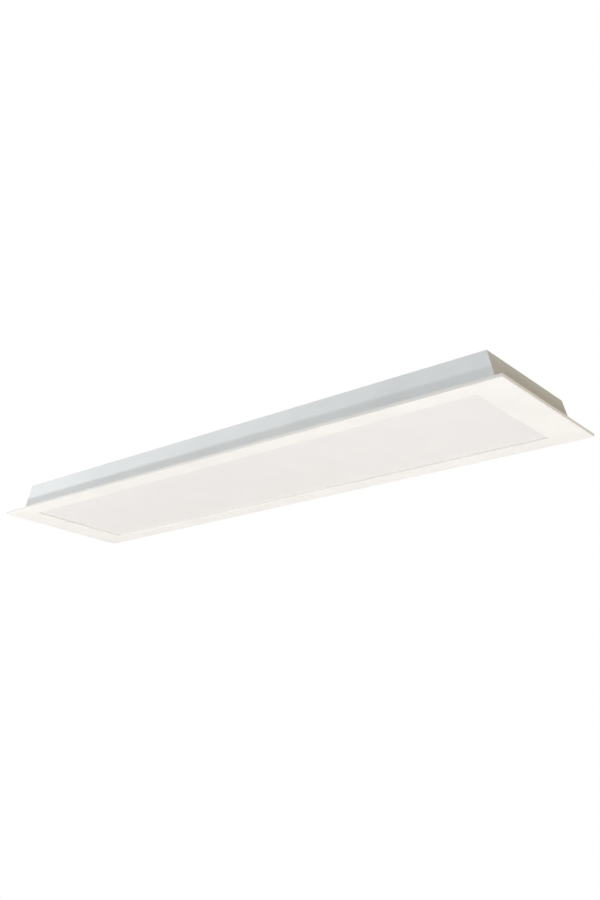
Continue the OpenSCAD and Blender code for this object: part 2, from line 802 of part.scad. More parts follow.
module lever_pin() color(bright_steel)
    translate([lever_pivot_x, block_y0 + lever_pin_end + held_clear, lever_pivot_z]) rotate([-90, 0, 0])
        cylinder(r = lever_pin_r, h = 3 * pole_pitch - 2 * lever_pin_end - 2 * held_clear);

module terminal_screws() color(bright_steel) at_terminal_screws() top_screw(sheet_t + ear_h - blind_clear);

// Earth connection: ring, washer and screw head hang below the top
module earth_screw() color("limegreen")
    translate([entry_x, earth_y, top_in - earth_ring_t - washer_t]) rotate([180, 0, 0])
        screw(screw_r, head_r, head_h, earth_ring_t + washer_t + sheet_t + tip_l);

module earth_washer() color(bright_steel) translate([entry_x, earth_y, 0]) difference() {
    hole(washer_r, top_in - earth_ring_t - washer_t, top_in - earth_ring_t);
    hole(screw_r + screw_clear, top_in - earth_ring_t - washer_t - over, top_in);
}

// Leads: a tube swept along straight stretches with rounded corners
function unit(v) = v / norm(v);
function rounded(points, bend) = let (n = len(points)) [
    points[0],
    for (i = [1 : n - 2])
        let (
            p = points[i],
            back = points[i - 1] - p,
            on = points[i + 1] - p,
            d = min(bend, 0.45 * norm(back), 0.45 * norm(on)),
            a = p + unit(back) * d,
            b = p + unit(on) * d
        )
        for (k = [0 : 4]) let (t = k / 4) (1 - t) * (1 - t) * a + 2 * t * (1 - t) * p + t * t * b,
    points[n - 1]
];
function tangent(path, i) = let (n = len(path))
    i == 0 ? unit(path[1] - path[0])
    : i == n - 1 ? unit(path[n - 1] - path[n - 2])
    : unit(unit(path[i] - path[i - 1]) + unit(path[i + 1] - path[i]));
function square_to(v, t) = unit(v - (v * t) * t);
function sides(path, i = 0, last = [0, 0, 1]) = i == len(path) ? []
    : let (
        t = tangent(path, i),
        guess = norm(cross(last, t)) < 0.2 ? [0, 1, 0] : last,
        s = square_to(guess, t)
    )
    concat([s], sides(path, i + 1, s));

module tube(points, r, bend, facets = 8) {
    path = rounded(points, bend);
    across = sides(path);
    n = len(path);
    verts = [
        for (i = [0 : n - 1])
            let (u = across[i], v = cross(tangent(path, i), u))
            for (k = [0 : facets - 1])
                let (a = 360 * (k + 0.5) / facets) path[i] + r * (cos(a) * u + sin(a) * v)
    ];
    skin = [
        for (i = [0 : n - 2], k = [0 : facets - 1])
            let (k1 = (k + 1) % facets, a = i * facets, b = a + facets)
            each [[a + k, b + k1, a + k1], [a + k, b + k, b + k1]]
    ];
    caps = [
        for (k = [1 : facets - 2])
            each [[0, k, k + 1], [(n - 1) * facets, (n - 1) * facets + k + 1, (n - 1) * facets + k]]
    ];
    polyhedron(points = verts, faces = concat(skin, caps));
}

module supply_lead(start_y, run_y, case_y) tube([
    [lead_start_x, start_y, wire_z], [block_x0 + lead_straight, start_y, wire_z],
    [-tray_x + lead_ramp, run_y, top_lead_z], [tray_x - lead_straight, run_y, top_lead_z],
    [driver_x0 - lead_straight / 2, case_y, driver_lead_z], [lead_end_x, case_y, driver_lead_z]
], wire_r, lead_bend);

module live_lead() color("saddlebrown") supply_lead(pole_y(1), live_y, case_live_y);

module neutral_lead() color("royalblue") supply_lead(pole_y(2), neutral_y, case_neutral_y);

// Earth lead with its ring terminal: ring, tongue and the barrel that holds the wire
module earth_lead() color("yellowgreen") {
    barrel_y = earth_y + washer_r + wire_r;
    barrel_z = top_in - wire_r - lead_rest;
    tube([
        [lead_start_x, pole_y(0), wire_z], [block_x0 + lead_straight, pole_y(0), wire_z],
        [earth_run_x, earth_run_y0, earth_run_z], [earth_run_x, earth_run_y1, earth_run_z],
        [entry_x + earth_rise[0], earth_y + earth_rise[1], top_in + earth_rise[2]],
        [entry_x, barrel_y + earth_barrel_l / 2, barrel_z], [entry_x, barrel_y, barrel_z]
    ], wire_r, lead_bend);
    difference() {
        union() {
            translate([entry_x, earth_y, 0]) hole(earth_ring_r, top_in - earth_ring_t, top_in);
            box([entry_x - earth_tongue_w / 2, earth_y, top_in - earth_ring_t],
                [entry_x + earth_tongue_w / 2, barrel_y + wire_r, top_in]);
        }
        translate([entry_x, earth_y, 0])
            hole(screw_r + screw_clear, top_in - earth_ring_t - over, top_in + over);
    }
}

module led_lead(case_y, run_y, drop_x, side) tube([
    [lead_end_x, case_y, driver_lead_z], [driver_x0 - lead_straight / 2, case_y, driver_lead_z],
    [tray_x - lead_straight, run_y, led_lead_z], [drop_x, run_y, led_lead_z],
    [drop_x, 0, led_lead_z], [drop_x, 0, under_lead_z],
    [drop_x, side * (row_y - connector_w / 2 + plug_depth), under_lead_z]
], thin_wire_r, led_lead_bend);

module led_lead_positive() color("firebrick")
    led_lead(case_positive_y, led_positive_y, grommet_x + lead_split, 1);

module led_lead_negative() color("black")
    led_lead(case_negative_y, led_negative_y, grommet_x - lead_split, -1);

// Lead that joins the two rows at their -X ends
module row_link_lead() color("white") {
    reach = row_y - connector_w / 2 + plug_depth;
    translate([-grommet_x - lead_split, reach, under_lead_z]) rotate([90, 0, 0])
        cylinder(r = thin_wire_r, h = 2 * reach);
}

module lead_grommet() color("dimgray") translate([grommet_x, 0, 0]) difference() {
    union() {
        hole(grommet_hole_r - screw_clear, tray_under - grommet_lip / 2, tray_top + grommet_lip / 2);
        hole(grommet_flange_r, tray_top, tray_top + grommet_lip);
        hole(grommet_flange_r, tray_under - grommet_lip, tray_under);
    }
    hole(grommet_bore_r, tray_under - grommet_lip - over, tray_top + grommet_lip + over);
}

module lead_clips() color("ivory") both_ends() translate([lead_clip_x, 0, 0]) along_x(lead_clip_w)
    difference() {
        translate([live_y - lead_clip_margin, tray_top])
            square([neutral_y - live_y + 2 * lead_clip_margin, 2 * wire_r + lead_clip_roof]);
        for (y = [live_y, neutral_y]) {
            groove = wire_r + lead_clip_clear;
            translate([y, top_lead_z]) circle(groove);
            translate([y - groove, tray_top - over]) square([2 * groove, over + wire_r]);
        }
    }

// Wiring access plate on the top, with a knuckle hinge on its inboard edge
module knuckle_bore(r) translate([knuckle_x, 0, knuckle_z]) rotate([90, 0, 0])
    cylinder(r = r, h = leaf_l + 2 * over, center = true);

module knuckle(y0, y1) translate([knuckle_x, y1, knuckle_z]) rotate([90, 0, 0])
    cylinder(r = knuckle_r, h = y1 - y0);

module access_plate() color(sheet_white) difference() {
    union() {
        box([access_x0 - plate_lap, -access_l / 2 - plate_lap, overall_h],
            [access_x1 + plate_lap, access_l / 2 + plate_lap, overall_h + plate_t]);
        box([access_x0 - plate_lap, -finger_lip_w / 2, overall_h],
            [access_x0 - plate_lap + plate_t, finger_lip_w / 2, overall_h + finger_lip_h]);
        box([access_x1, -plate_knuckle_l / 2, overall_h],
            [knuckle_x, plate_knuckle_l / 2, overall_h + plate_t]);
        knuckle(-plate_knuckle_l / 2, plate_knuckle_l / 2);
    }
    knuckle_bore(access_pin_r + pin_clear);
}

module access_hinge_leaf() color(sheet_white) difference() {
    union() {
        box([knuckle_x + knuckle_r + knuckle_gap, -leaf_l / 2, overall_h],
            [knuckle_x + leaf_w, leaf_l / 2, overall_h + plate_t]);
        both_sides() {
            knuckle(plate_knuckle_l / 2 + knuckle_gap, leaf_l / 2);
            box([knuckle_x, plate_knuckle_l / 2 + knuckle_gap, overall_h],
                [knuckle_x + knuckle_r + over, leaf_l / 2, overall_h + plate_t]);
        }
    }
    knuckle_bore(access_pin_r + held_clear);
}

module access_hinge_pin() color(bright_steel) translate([knuckle_x, 0, knuckle_z]) rotate([90, 0, 0])
    cylinder(r = access_pin_r, h = leaf_l + 2 * access_pin_end, center = true);

// What is cut from the lip so that it swings up beside the flange: all but a low edge along the
// hinge side, and the upper corners of the end lips, rounded about the hinge axis
module swing_relief() {
    box([-(half_l - sheet_t), hinge_y, hinge_lip_h], [half_l - sheet_t, half_w + over, lip_h + over]);
    along_x(2 * half_l + 2 * over) difference() {
        translate([hinge_y, hinge_z]) square([hinge_edge_r + over, lip_h]);
        translate([hinge_y, hinge_z]) circle(hinge_edge_r);
    }
}

// Door frame: the whole visible face, with an upturned lip and an upturned edge at the window
module door_frame() color(white_paint) difference() {
    union() {
        ring(half_l, half_w, window_x, window_y, 0, sheet_t);
        difference() {
            ring(half_l, half_w, half_l - sheet_t, half_w - sheet_t, 0, lip_h);
            swing_relief();
        }
        ring(window_x + sheet_t, window_y + sheet_t, window_x, window_y, 0, lens_recess);
    }
    round_outer_edges(half_l, half_w, bend_r);
    round_inner_edges(window_x, window_y, bend_r);
}

module diffuser() color("ghostwhite")
    box([-lens_x, -lens_y, lens_recess], [lens_x, lens_y, lens_top]);

// Clips: angles on the frame that hold the diffuser down by its edges
module clip_section(edge) {
    translate([edge - clip_hold, lens_top + clip_seat]) square([clip_hold + clip_gap + clip_t, clip_t]);
    translate([edge + clip_gap, sheet_t]) square([clip_t, clip_top - sheet_t]);
    translate([edge + clip_gap, sheet_t]) square([clip_foot, clip_t]);
}

module diffuser_clips() color(bright_steel) {
    span = 2 * (window_x - clip_end_gap);
    both_sides() for (i = [0 : side_clip_count - 1])
        translate([-span / 2 + i * span / (side_clip_count - 1), 0, 0]) along_x(clip_w) clip_section(lens_y);
    both_ends() both_sides() translate([0, end_clip_y, 0]) along_y(clip_w) clip_section(lens_x);
}

mirror([0, 1, 0]) side_mounting_angle();  // mounting_angle_near
side_mounting_angle();  // mounting_angle_far
mirror([1, 0, 0]) end_mounting_angle();  // mounting_angle_left
end_mounting_angle();  // mounting_angle_right
housing_body();
mirror([1, 0, 0]) end_plate();  // end_plate_left
end_plate();  // end_plate_right
hanger_plates();
housing_screws();
mirror([1, 0, 0]) housing_hinge_leaf();  // housing_hinge_leaf_left
housing_hinge_leaf();  // housing_hinge_leaf_right
mirror([1, 0, 0]) hinge_pin();  // hinge_pin_left
hinge_pin();  // hinge_pin_right
catch_springs();
reflector_tray();
tray_spacers();
tray_screws();
mirror([1, 0, 0]) end_reflector();  // end_reflector_left
end_reflector();  // end_reflector_right
reflector_screws();
mirror([1, 0, 0]) mirror([0, 1, 0]) led_board();  // led_board_near_left
mirror([0, 1, 0]) led_board();  // led_board_near_right
mirror([1, 0, 0]) led_board();  // led_board_far_left
led_board();  // led_board_far_right
board_screws();
board_connectors();
board_links();
driver_case();
driver_cover();
driver_circuit_board();
driver_screws();
terminal_block();
terminal_contacts();
terminal_lever(1);  // terminal_lever_live
terminal_lever(2);  // terminal_lever_neutral
terminal_lever(0);  // terminal_lever_earth
lever_pin();
terminal_screws();
earth_screw();
earth_washer();
lead_grommet();
lead_clips();
live_lead();
neutral_lead();
earth_lead();
led_lead_positive();
led_lead_negative();
row_link_lead();
access_hinge_leaf();
access_hinge_pin();
access_plate();
door_frame();
diffuser();
diffuser_clips();
mirror([1, 0, 0]) door_hinge_leaf();  // door_hinge_leaf_left
door_hinge_leaf();  // door_hinge_leaf_right
catch_strikes();
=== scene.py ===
"""Looks of the recessed ceiling light: materials, small fittings, lights and the camera."""

import json
import math

import bmesh
import bpy
from mathutils import Matrix, Vector


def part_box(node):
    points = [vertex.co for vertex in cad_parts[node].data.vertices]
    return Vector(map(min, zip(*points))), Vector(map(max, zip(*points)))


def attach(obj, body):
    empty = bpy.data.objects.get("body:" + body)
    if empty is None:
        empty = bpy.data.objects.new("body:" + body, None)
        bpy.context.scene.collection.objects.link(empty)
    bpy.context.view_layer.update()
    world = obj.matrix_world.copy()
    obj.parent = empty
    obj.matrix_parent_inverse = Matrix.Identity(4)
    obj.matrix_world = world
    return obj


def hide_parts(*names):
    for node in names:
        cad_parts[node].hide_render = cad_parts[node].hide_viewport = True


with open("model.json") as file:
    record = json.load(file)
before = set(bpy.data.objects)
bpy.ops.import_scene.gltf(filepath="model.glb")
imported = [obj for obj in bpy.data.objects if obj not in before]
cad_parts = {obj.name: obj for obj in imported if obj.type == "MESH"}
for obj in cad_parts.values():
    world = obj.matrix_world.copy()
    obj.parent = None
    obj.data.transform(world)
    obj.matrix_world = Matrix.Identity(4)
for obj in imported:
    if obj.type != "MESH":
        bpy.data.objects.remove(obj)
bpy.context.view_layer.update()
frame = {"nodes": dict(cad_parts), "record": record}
nodes = frame["nodes"]
scene = bpy.context.scene


# Camera

def make_camera(eye, forward, up, lens):
    data = bpy.data.cameras.new("camera")
    data.sensor_width = 36
    data.lens = lens
    data.clip_start = 0.01
    camera = bpy.data.objects.new("camera", data)
    scene.collection.objects.link(camera)
    forward = Vector(forward).normalized()
    side = forward.cross(Vector(up)).normalized()
    up = side.cross(forward)
    turn = Matrix((side, up, -forward)).transposed().to_4x4()
    camera.matrix_world = Matrix.Translation(eye) @ turn
    scene.camera = camera


camera_place = (1.2585, -1.335, -0.606)
view_line = (-0.616, 0.709, 0.344)
upright_line = (0.201, -0.280, 0.939)
lens_mm = 40.6
make_camera(camera_place, view_line, upright_line, lens_mm)


# Material building blocks: noise scales count waves in a metre, and bump distances are in metres

class Shader:
    """A material's node tree with its Principled shader, and short ways to add nodes to it."""

    def __init__(self, name):
        self.material = bpy.data.materials.new(name)
        self.material.use_nodes = True
        self.tree = self.material.node_tree
        self.out = self.tree.nodes["Principled BSDF"]
        self.place = self.add("ShaderNodeTexCoord").outputs["Object"]

    def add(self, kind, inputs=None, **settings):
        node = self.tree.nodes.new(kind)
        for key, value in settings.items():
            setattr(node, key, value)
        for key, value in (inputs or {}).items():
            self.put(node.inputs[key], value)
        return node

    def put(self, socket, value):
        if isinstance(value, bpy.types.NodeSocket):
            self.tree.links.new(value, socket)
        elif socket.type == "RGBA":
            socket.default_value = (*value, 1)
        else:
            socket.default_value = value

    def set(self, **values):
        for key, value in values.items():
            self.put(self.out.inputs[key.replace("_", " ")], value)

    def math(self, operation, a, b=0.0):
        return self.add("ShaderNodeMath", {0: a, 1: b}, operation=operation).outputs[0]

    def noise(self, scale, detail=2.0, roughness=0.5, stretch=None):
        place = self.place
        if stretch:
            place = self.add("ShaderNodeMapping", {"Vector": place, "Scale": stretch}).outputs[0]
        inputs = {"Vector": place, "Scale": scale, "Detail": detail, "Roughness": roughness}
        return self.add("ShaderNodeTexNoise", inputs).outputs["Fac"]

    def cells(self, scale, output, feature="F1"):
        inputs = {"Vector": self.place, "Scale": scale}
        return self.add("ShaderNodeTexVoronoi", inputs, feature=feature).outputs[output]

    def between(self, value, low, high, to_low=0.0, to_high=1.0):
        inputs = {"Value": value, "From Min": low, "From Max": high, "To Min": to_low, "To Max": to_high}
        return self.add("ShaderNodeMapRange", inputs).outputs[0]

    def mix(self, share, a, b):
        node = self.add("ShaderNodeMix", data_type="RGBA")
        self.put(node.inputs["Factor"], share)
        self.put(node.inputs[6], a)
        self.put(node.inputs[7], b)
        return node.outputs[2]

    def bump(self, height, strength, distance, normal=None):
        inputs = {"Height": height, "Strength": strength, "Distance": distance}
        if normal:
            inputs["Normal"] = normal
        return self.add("ShaderNodeBump", inputs).outputs[0]

    def axes(self):
        return self.add("ShaderNodeSeparateXYZ", {0: self.place}).outputs

    def milky(self, weight, radius):
        """Lets light in under the surface, as far as the radius in metres for each colour."""
        self.set(Subsurface_Weight=weight, Subsurface_Radius=radius, Subsurface_Scale=1.0)


def shade(color, factor):
    return tuple(min(1.0, c * factor) for c in color)


def coat(name, color, rough, peel, spread=0.035):
    """Sprayed or coil-coated paint: orange peel, faint clouding, a little dust in the gloss."""
    s = Shader(name)
    clouds = s.noise(9, 3)
    fine = s.noise(160, 2)
    color_a = s.mix(s.between(clouds, 0.35, 0.65), shade(color, 1 - spread), shade(color, 1 + spread / 2))
    s.set(Base_Color=s.mix(s.between(fine, 0.55, 0.8, 0, 0.35), color_a, shade(color, 1 - 1.5 * spread)))
    s.set(Roughness=s.between(s.noise(60, 3), 0.3, 0.7, rough - 0.05, rough + 0.07))
    broad = s.bump(s.noise(45, 1), 0.06, 0.0006)
    s.set(Normal=s.bump(s.noise(1100, 2, 0.6), peel, 0.00006, broad))
    return s.material


def metal(name, color, rough, stretch=(1, 1, 1)):
    """Plated, blued or dyed metal: drawn grain along one axis and soft blotches of its finish."""
    s = Shader(name)
    grain = s.noise(400, 3, 0.6, stretch)
    blotches = s.noise(70, 4, 0.65)
    color_a = s.mix(s.between(blotches, 0.3, 0.7), shade(color, 0.9), shade(color, 1.05))
    s.set(Base_Color=s.mix(s.between(grain, 0.4, 0.75, 0, 0.3), color_a, shade(color, 0.8)))
    s.set(Roughness=s.between(grain, 0.25, 0.75, rough - 0.08, rough + 0.12), Metallic=1.0)
    s.set(Normal=s.bump(grain, 0.15, 0.00004))
    return s.material


def galvanized(name, color):
    """Hot-dip sheet with its spangle."""
    s = Shader(name)
    spangle = s.add("ShaderNodeSeparateColor", {0: s.cells(190, "Color")}).outputs[0]
    clouds = s.noise(30, 3)
    base = s.mix(spangle, shade(color, 0.82), shade(color, 1.1))
    s.set(Base_Color=s.mix(s.between(clouds, 0.3, 0.7, 0, 0.4), base, color), Metallic=1.0)
    s.set(Roughness=s.between(spangle, 0, 1, 0.3, 0.5))
    s.set(Normal=s.bump(s.noise(900, 2), 0.1, 0.00004))
    return s.material


def plastic(name, color, rough, grain=1500, depth=0.25, milkiness=0.0):
    """Moulded plastic or rubber: spark-eroded texture, slight clouding, and some light let in."""
    s = Shader(name)
    clouds = s.noise(90, 3)
    s.set(Base_Color=s.mix(s.between(clouds, 0.3, 0.7), shade(color, 0.96), shade(color, 1.04)))
    s.set(Roughness=s.between(s.noise(300, 2), 0.3, 0.7, rough - 0.05, rough + 0.06))
    s.set(Normal=s.bump(s.noise(grain, 2), depth, 0.00003))
    if milkiness:
        s.milky(milkiness, (0.004, 0.0038, 0.0034))
    return s.material


def opal(name, color):
    """Opal diffuser: even milky body, satin face with a fine frosted grain."""
    s = Shader(name)
    milk = s.noise(14, 2)
    s.set(Base_Color=s.mix(s.between(milk, 0.35, 0.65), shade(color, 0.99), shade(color, 1.008)))
    s.set(Roughness=s.between(s.noise(420, 3), 0.3, 0.7, 0.42, 0.52))
    s.set(Normal=s.bump(s.noise(2400, 2), 0.12, 0.00003))
    s.milky(0.25, (0.006, 0.006, 0.0055))
    return s.material


def lamp_board(name, color, row_y, row_end):
    """White solder mask over raised copper tracks and rails, with a darker pad at each lamp."""
    pad_half = 0.0024
    track_half = 0.0042
    track_gap_half = 0.0006
    rail_off = 0.0076
    rail_half = 0.0009
    rail_slope = 0.0003
    s = Shader(name)
    x, y, _ = s.axes()
    off_x = s.math("ABSOLUTE", x)
    off_y = s.math("ABSOLUTE", s.math("SUBTRACT", s.math("ABSOLUTE", y), row_y))
    in_pitch = s.math("MODULO", s.math("ADD", off_x, lamp_pitch / 2), lamp_pitch)
    to_lamp = s.math("ABSOLUTE", s.math("SUBTRACT", in_pitch, lamp_pitch / 2))
    on_row = s.math("LESS_THAN", off_x, row_end)
    pad = s.math("MULTIPLY", s.math("LESS_THAN", s.math("MAXIMUM", to_lamp, off_y), pad_half), on_row)
    in_track = s.math("LESS_THAN", off_y, track_half)
    track = s.math("MULTIPLY", in_track, s.math("GREATER_THAN", to_lamp, track_gap_half))
    to_rail = s.math("ABSOLUTE", s.math("SUBTRACT", off_y, rail_off))
    rail = s.between(to_rail, rail_half, rail_half + rail_slope, 1, 0)
    raised = s.math("MAXIMUM", s.math("MULTIPLY", track, 0.8), rail)
    clouds = s.noise(120, 3)
    mask = s.mix(s.between(clouds, 0.3, 0.7), shade(color, 0.96), shade(color, 1.02))
    mask = s.mix(s.math("MULTIPLY", raised, 0.35), mask, shade(color, 1.15))
    s.set(Base_Color=s.mix(s.math("MULTIPLY", pad, 0.75), mask, shade(color, 0.8)))
    s.set(Roughness=s.between(clouds, 0.3, 0.7, 0.3, 0.4))
    s.set(Normal=s.bump(raised, 0.5, 0.00005, s.bump(s.noise(800, 2), 0.1, 0.00003)))
    return s.material


def circuit(name, color):
    """Green board: tracks as thin cell borders under the solder mask."""
    s = Shader(name)
    track = s.between(s.cells(260, "Distance", "DISTANCE_TO_EDGE"), 0.05, 0.09, 1, 0)
    s.set(Base_Color=s.mix(s.math("MULTIPLY", track, 0.6), color, shade(color, 1.9)), Roughness=0.35)
    s.set(Normal=s.bump(track, 0.4, 0.00005))
    return s.material


def insulation(name, color):
    """Wire insulation: smooth, with faint clouding and a slightly uneven skin."""
    s = Shader(name)
    clouds = s.noise(120, 2)
    s.set(Base_Color=s.mix(s.between(clouds, 0.35, 0.7), shade(color, 0.94), shade(color, 1.06)))
    s.set(Roughness=s.between(s.noise(200, 2), 0.3, 0.7, 0.33, 0.45))
    s.set(Normal=s.bump(s.noise(900, 2), 0.08, 0.00003))
    return s.material


def phosphor(name, color):
    """Lamp face: yellow phosphor grains set in clear silicone."""
    s = Shader(name)
    grains = s.noise(6000, 2)
    s.set(Base_Color=s.mix(s.between(grains, 0.35, 0.65), shade(color, 0.85), shade(color, 1.1)))
    s.set(Roughness=s.between(grains, 0.3, 0.7, 0.2, 0.3), Normal=s.bump(grains, 0.1, 0.00002))
    s.milky(0.2, (0.0006, 0.0005, 0.0002))
    return s.material


# The row of lamps on each board, as the solids have it

lamp_pitch = 0.016
bare_board_end = 0.027


def lamp_row(low, high):
    """The row's middle line across the fixture and its reach along it, from the box of the board."""
    return (low[1] + high[1]) / 2, max(abs(low[0]), abs(high[0])) - bare_board_end


# Materials by slot

row_y, row_end = lamp_row(*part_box("led_board_far_right"))
slots = {
    # Painted light: frame and housing share one white paint. Its cream tint on the frame is painted warm
    # light from below, and its blue-grey tint on the housing is painted cool side light.
    "white_paint": coat("white_coat_painted_warm_light", (0.855, 0.828, 0.80), 0.42, 0.4),
    "housing_paint": coat("housing_coat_painted_cool_light", (0.795, 0.82, 0.83), 0.5, 0.25),
    "reflector_paint": coat("reflector_coat", (0.76, 0.765, 0.76), 0.55, 0.2, 0.02),
    "opal": opal("opal_diffuser", (0.79, 0.763, 0.75)),
    "zinc_steel": metal("zinc_plating", (0.66, 0.68, 0.71), 0.34, (1, 0.06, 1)),
    "spring_steel": metal("blued_spring_steel", (0.22, 0.23, 0.26), 0.32, (0.06, 1, 1)),
    "driver_steel": galvanized("galvanized_sheet", (0.62, 0.64, 0.66)),
    "board_white": lamp_board("board_solder_mask", (0.66, 0.665, 0.64), row_y, row_end),
    "board_green": circuit("driver_board", (0.05, 0.2, 0.09)),
    "ivory_plastic": plastic("ivory_moulding", (0.82, 0.79, 0.68), 0.42, milkiness=0.1),
    "grey_plastic": plastic("grey_moulding", (0.68, 0.69, 0.69), 0.45),
    "orange_plastic": plastic("orange_moulding", (0.85, 0.25, 0.03), 0.35, milkiness=0.05),
    "brass": metal("brass_contact", (0.75, 0.53, 0.22), 0.28, (0.08, 1, 1)),
    "earth_green": metal("green_dyed_screw", (0.10, 0.42, 0.14), 0.36),
    "black_rubber": plastic("black_rubber", (0.03, 0.03, 0.032), 0.6, 900, 0.5),
    "brown_insulation": insulation("brown_wire", (0.16, 0.07, 0.035)),
    "blue_insulation": insulation("blue_wire", (0.04, 0.14, 0.5)),
    "green_insulation": insulation("green_wire", (0.25, 0.5, 0.06)),
    "red_insulation": insulation("red_wire", (0.45, 0.03, 0.025)),
    "black_insulation": insulation("black_wire", (0.02, 0.02, 0.02)),
    "white_insulation": insulation("white_wire", (0.78, 0.78, 0.75)),
}

for part in frame["record"]["subparts"]:
    item = nodes[part["node"]]
    for place in item.material_slots:
        place.material = slots[part["material_slot"]]


# Small pieces that replace or dress the plain CAD forms

# Points within these distances, in metres, are the same or level
same_point = 1e-6
same_level = 1e-5


def welded(node):
    """A copy of a CAD node's mesh with its doubled points joined."""
    bm = bmesh.new()
    bm.from_mesh(nodes[node].data)
    bmesh.ops.remove_doubles(bm, verts=bm.verts, dist=same_point)
    return bm


def islands(node):
    """The separate solids of a CAD node, each as a list of points, always in the same order."""
    bm = welded(node)
    seen = set()
    found = []
    for start in bm.verts:
        group = []
        front = [start]
        while front:
            vertex = front.pop()
            if vertex not in seen:
                seen.add(vertex)
                group.append(vertex.co.copy())
                front += [edge.other_vert(vertex) for edge in vertex.link_edges]
        if group:
            found.append(group)
    bm.free()
    return found


def ring(bm, radius, z, count):
    """Points of a level circle round the z axis."""
    turns = [2 * math.pi * i / count for i in range(count)]
    return [bm.verts.new((radius * math.cos(a), radius * math.sin(a), z)) for a in turns]


def skin(bm, a, b):
    """Faces between two rings of as many points."""
    for i in range(len(a)):
        j = (i + 1) % len(a)
        bm.faces.new((a[i], a[j], b[j], b[i]))


def loop_edges(bm, loop):
    return [bm.edges.get((a, b)) or bm.edges.new((a, b)) for a, b in zip(loop, loop[1:] + loop[:1])]


def cross_outline(bm, arm, half, z):
    """A cross, drawn as the three corners of one arm turned by quarters."""
    points = []
    for quarter in range(4):
        for x, y in ((arm, -half), (arm, half), (half, half)):
            for _ in range(quarter):
                x, y = -y, x
            points.append(bm.verts.new((x, y, z)))
    return points


def shank_profile(shank_r, root_r, length):
    """Radius and height up the thread, from its chamfered tip to just under the seat."""
    pitch = 0.42 * shank_r
    tip_r = 0.55 * shank_r
    thread_top = -0.02 * length
    profile = [(tip_r, -length), (root_r, -length + pitch / 2)]
    for k in range(1, max(2, int(length / pitch))):
        z = -length + pitch * (k + 0.5)
        profile += [(shank_r, z - pitch / 2), (root_r, z)]
    return [(r, min(z, thread_top)) for r, z in profile]


def head_profile(head_r, head_h):
    """Radius and height up a pan head: a straight rim, then a rounded shoulder up to the flat top."""
    seat_r = 0.97 * head_r
    rim_low = 0.08 * head_h
    rim_high = 0.45 * head_h
    flat_r = 0.7 * head_r
    shoulder = (0.35, 0.7, 1.05, 1.4, math.pi / 2)
    profile = [(seat_r, 0), (head_r, rim_low), (head_r, rim_high)]
    profile += [(flat_r + (head_r - flat_r) * math.cos(a), rim_high + (head_h - rim_high) * math.sin(a))
                for a in shoulder]
    return profile


def screw_form(shank_r, head_r, head_h, length):
    """Pan head with a cross recess over a threaded shank, the seat at z = 0 and the head up."""
    sides = 24
    root_r = 0.86 * shank_r
    recess_reach = 0.52 * head_r
    recess_half = 0.13 * head_r
    bottom_reach = 0.34 * head_r
    bottom_half = 0.09 * head_r
    bottom_z = 0.35 * head_h
    bm = bmesh.new()
    profile = shank_profile(shank_r, root_r, length) + [(root_r, 0)] + head_profile(head_r, head_h)
    rings = [ring(bm, r, z, sides) for r, z in profile]
    bm.faces.new(rings[0][::-1])
    for a, b in zip(rings, rings[1:]):
        skin(bm, a, b)
    rim = cross_outline(bm, recess_reach, recess_half, head_h)
    bottom = cross_outline(bm, bottom_reach, bottom_half, bottom_z)
    bmesh.ops.triangle_fill(bm, edges=loop_edges(bm, rings[-1]) + loop_edges(bm, rim), use_beauty=True)
    skin(bm, rim, bottom)
    bm.faces.new(bottom)
    bmesh.ops.recalc_face_normals(bm, faces=bm.faces)
    mesh = bpy.data.meshes.new("screw")
    bm.to_mesh(mesh)
    bm.free()
    return mesh


def add_piece(name, bm, material, body="housing", smooth_angle=0.6):
    """Makes an object of a mesh, shades it smooth below the angle and lets it ride on a body."""
    mesh = bpy.data.meshes.new(name)
    bm.to_mesh(mesh)
    bm.free()
    for face in mesh.polygons:
        face.use_smooth = True
    mesh.set_sharp_from_angle(angle=smooth_angle)
    mesh.materials.append(material)
    piece = bpy.data.objects.new(name, mesh)
    scene.collection.objects.link(piece)
    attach(piece, body)
    return piece


def spread(points, axis):
    values = [p[axis] for p in points]
    return min(values), max(values)


def slot_of(node):
    return next(p["material_slot"] for p in frame["record"]["subparts"] if p["node"] == node)


def body_of(node):
    bodies = frame["record"]["behaviour"]["bodies"]
    return next(name for name, members in bodies.items() if node in members)


def stand_in(node, bm, smooth_angle=0.6):
    """Replaces a CAD node by a piece of the same place, body and finish."""
    slot = slot_of(node)
    piece = add_piece(node + "_detail", bm, slots[slot], body_of(node), smooth_angle)
    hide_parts(node)
    return piece


def softened(node, width, sharp_angle=0.6):
    """Stands in for a moulded or cut piece, with its sharp edges rounded."""
    bm = welded(node)
    bmesh.ops.dissolve_limit(bm, angle_limit=0.01, verts=bm.verts, edges=bm.edges)
    sharp = [e for e in bm.edges if len(e.link_faces) == 2 and e.calc_face_angle(0) > sharp_angle]
    bmesh.ops.bevel(bm, geom=sharp, offset=width, segments=2, profile=0.5, affect="EDGES",
                    clamp_overlap=True)
    return stand_in(node, bm, sharp_angle)


def plated_ring(piece):
    """Gives the ring terminal at the earth lead's end the finish of its plating."""
    ring_t = 0.00085
    ring_l = 0.0105
    low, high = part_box("earth_lead")
    piece.data.materials.append(slots["zinc_steel"])
    for face in piece.data.polygons:
        if face.center.z > high[2] - ring_t and face.center.y < low[1] + ring_l:
            face.material_index = 1


def lead_line(node, from_start):
    """Middle line and radius of a faceted lead, walked from its end at the lowest or highest x."""
    bm = welded(node)
    low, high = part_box(node)
    end_x = low[0] if from_start else high[0]
    before = set()
    now = {v for v in bm.verts if abs(v.co.x - end_x) < same_level}
    line = []
    while now:
        center = Vector([math.fsum(v.co[axis] for v in now) / len(now) for axis in range(3)])
        line.append(center)
        radius = max((v.co - center).length for v in now)
        after = {e.other_vert(v) for v in now for e in v.link_edges} - now - before
        before, now = now, after
    bm.free()
    return line, radius


